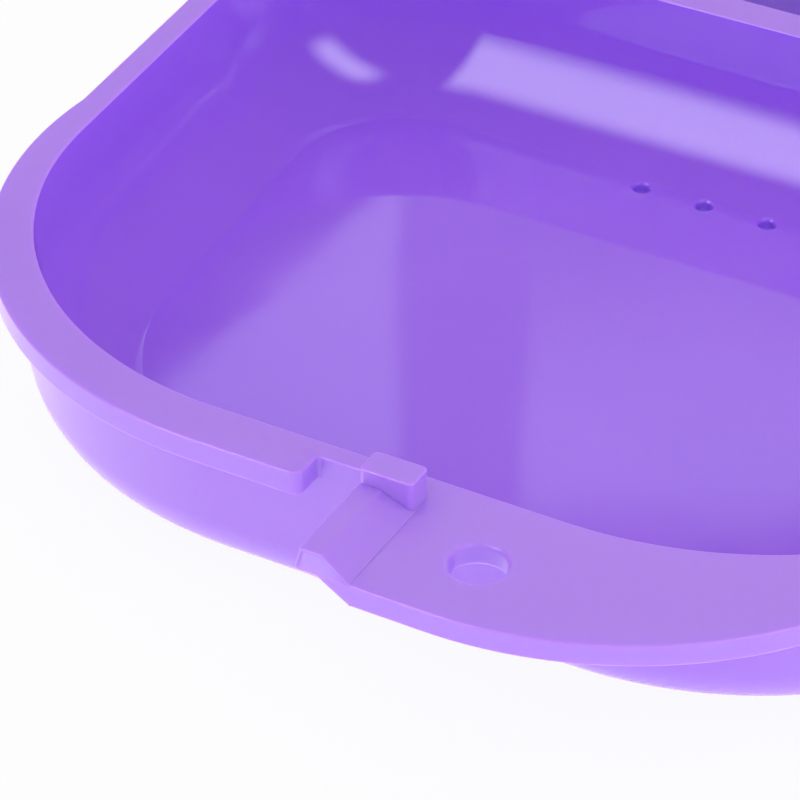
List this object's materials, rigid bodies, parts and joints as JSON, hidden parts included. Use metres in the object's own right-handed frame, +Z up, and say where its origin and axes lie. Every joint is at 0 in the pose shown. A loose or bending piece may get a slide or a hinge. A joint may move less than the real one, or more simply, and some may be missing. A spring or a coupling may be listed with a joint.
{
  "type": "orthodontic retainer case",
  "caption": "Shallow D-shaped hinged case of two alike moulded trays with flanged rims, finger tabs, an interlocking latch and a snap hinge, for keeping a dental retainer.",
  "frame": {"origin": "on the table, under the middle of the hinge line, with the case lying open and flat", "axes": "+X along the hinge line, +Y from the base half to the lid half, +Z up out of the trays"},
  "size_m": [0.0808, 0.153, 0.0148],
  "materials": {
    "lilac_plastic": "injection-moulded polypropylene, semi-gloss and slightly translucent"
  },
  "bodies": {
    "base": {"base_half": "lilac_plastic"},
    "lid": {"lid_half": "lilac_plastic"}
  },
  "joints": [
    {"name": "lid_hinge", "type": "hinge", "parent": "base", "child": "lid", "pos_m": [0, 0, 0.01265], "axis": [1, 0, 0], "range_deg": [0, 180]}
  ]
}
